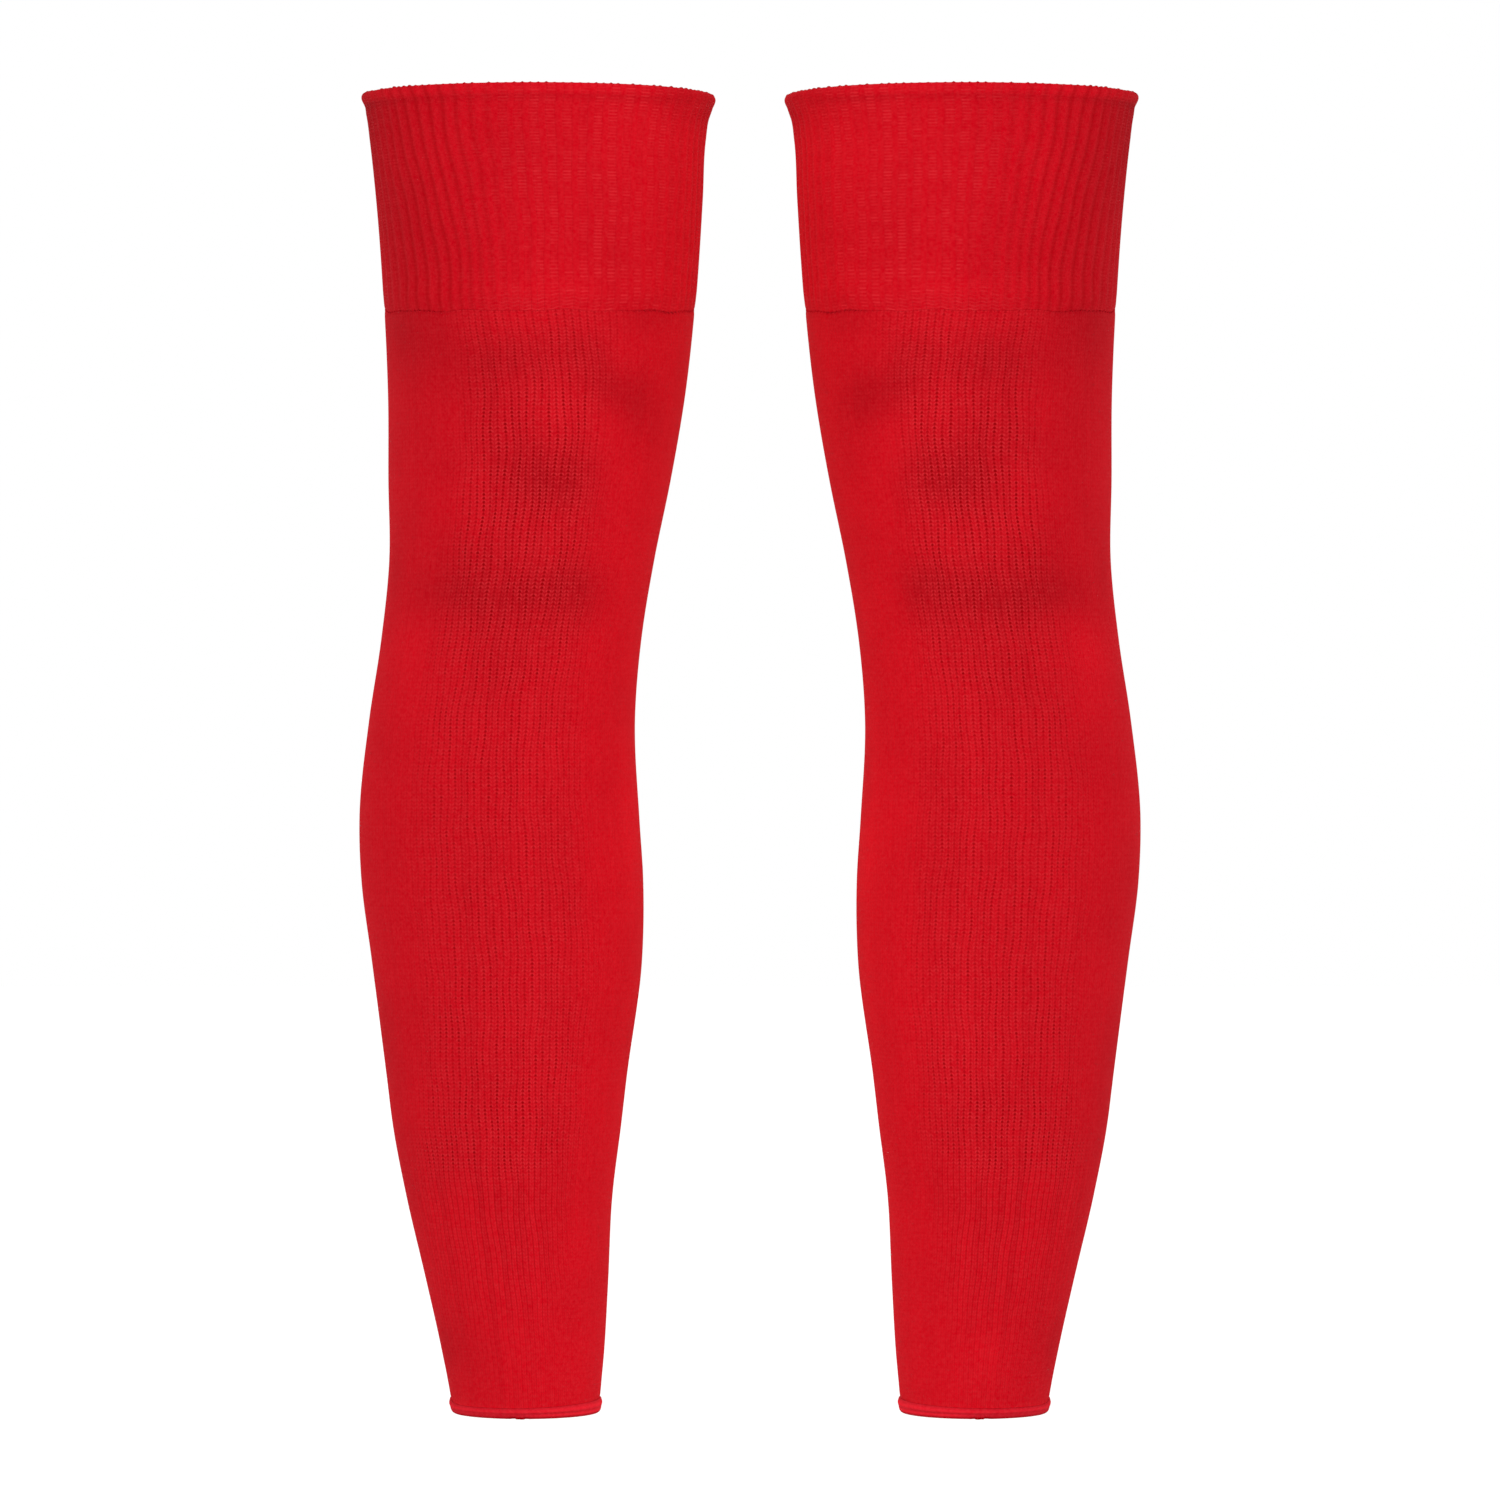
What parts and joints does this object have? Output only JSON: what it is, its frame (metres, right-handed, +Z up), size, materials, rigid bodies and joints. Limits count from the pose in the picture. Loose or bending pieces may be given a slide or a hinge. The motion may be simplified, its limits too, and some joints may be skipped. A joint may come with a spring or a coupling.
{
  "type": "pair of leg warmers",
  "caption": "Pair of footless knitted leg warmers with wide ribbed cuffs and narrow turned hems, hollow and filled out as worn, covering the legs from above the knee to the ankle.",
  "frame": {"origin": "midway between the two cuffs, halfway up them, where the wearer's legs hold the pair", "axes": "+Z up the legs towards the rims, -Y towards the front of the legs, +X to the right as seen from the front, with one sleeve on each side of X = 0"},
  "size_m": [0.3274, 0.1535, 0.55],
  "materials": {
    "ribbed_knit": "red double rib knit, soft and matt with a slight sheen",
    "plain_knit": "red plain knit in fine vertical wales, matt, with small dark gaps where it is stretched",
    "turned_edge": "red turned knit edge in two rounded bands"
  },
  "bodies": {
    "root": {"cuff_left": "ribbed_knit", "leg_left": "plain_knit", "hem_left": "turned_edge", "cuff_right": "ribbed_knit", "leg_right": "plain_knit", "hem_right": "turned_edge"}
  },
  "joints": []
}
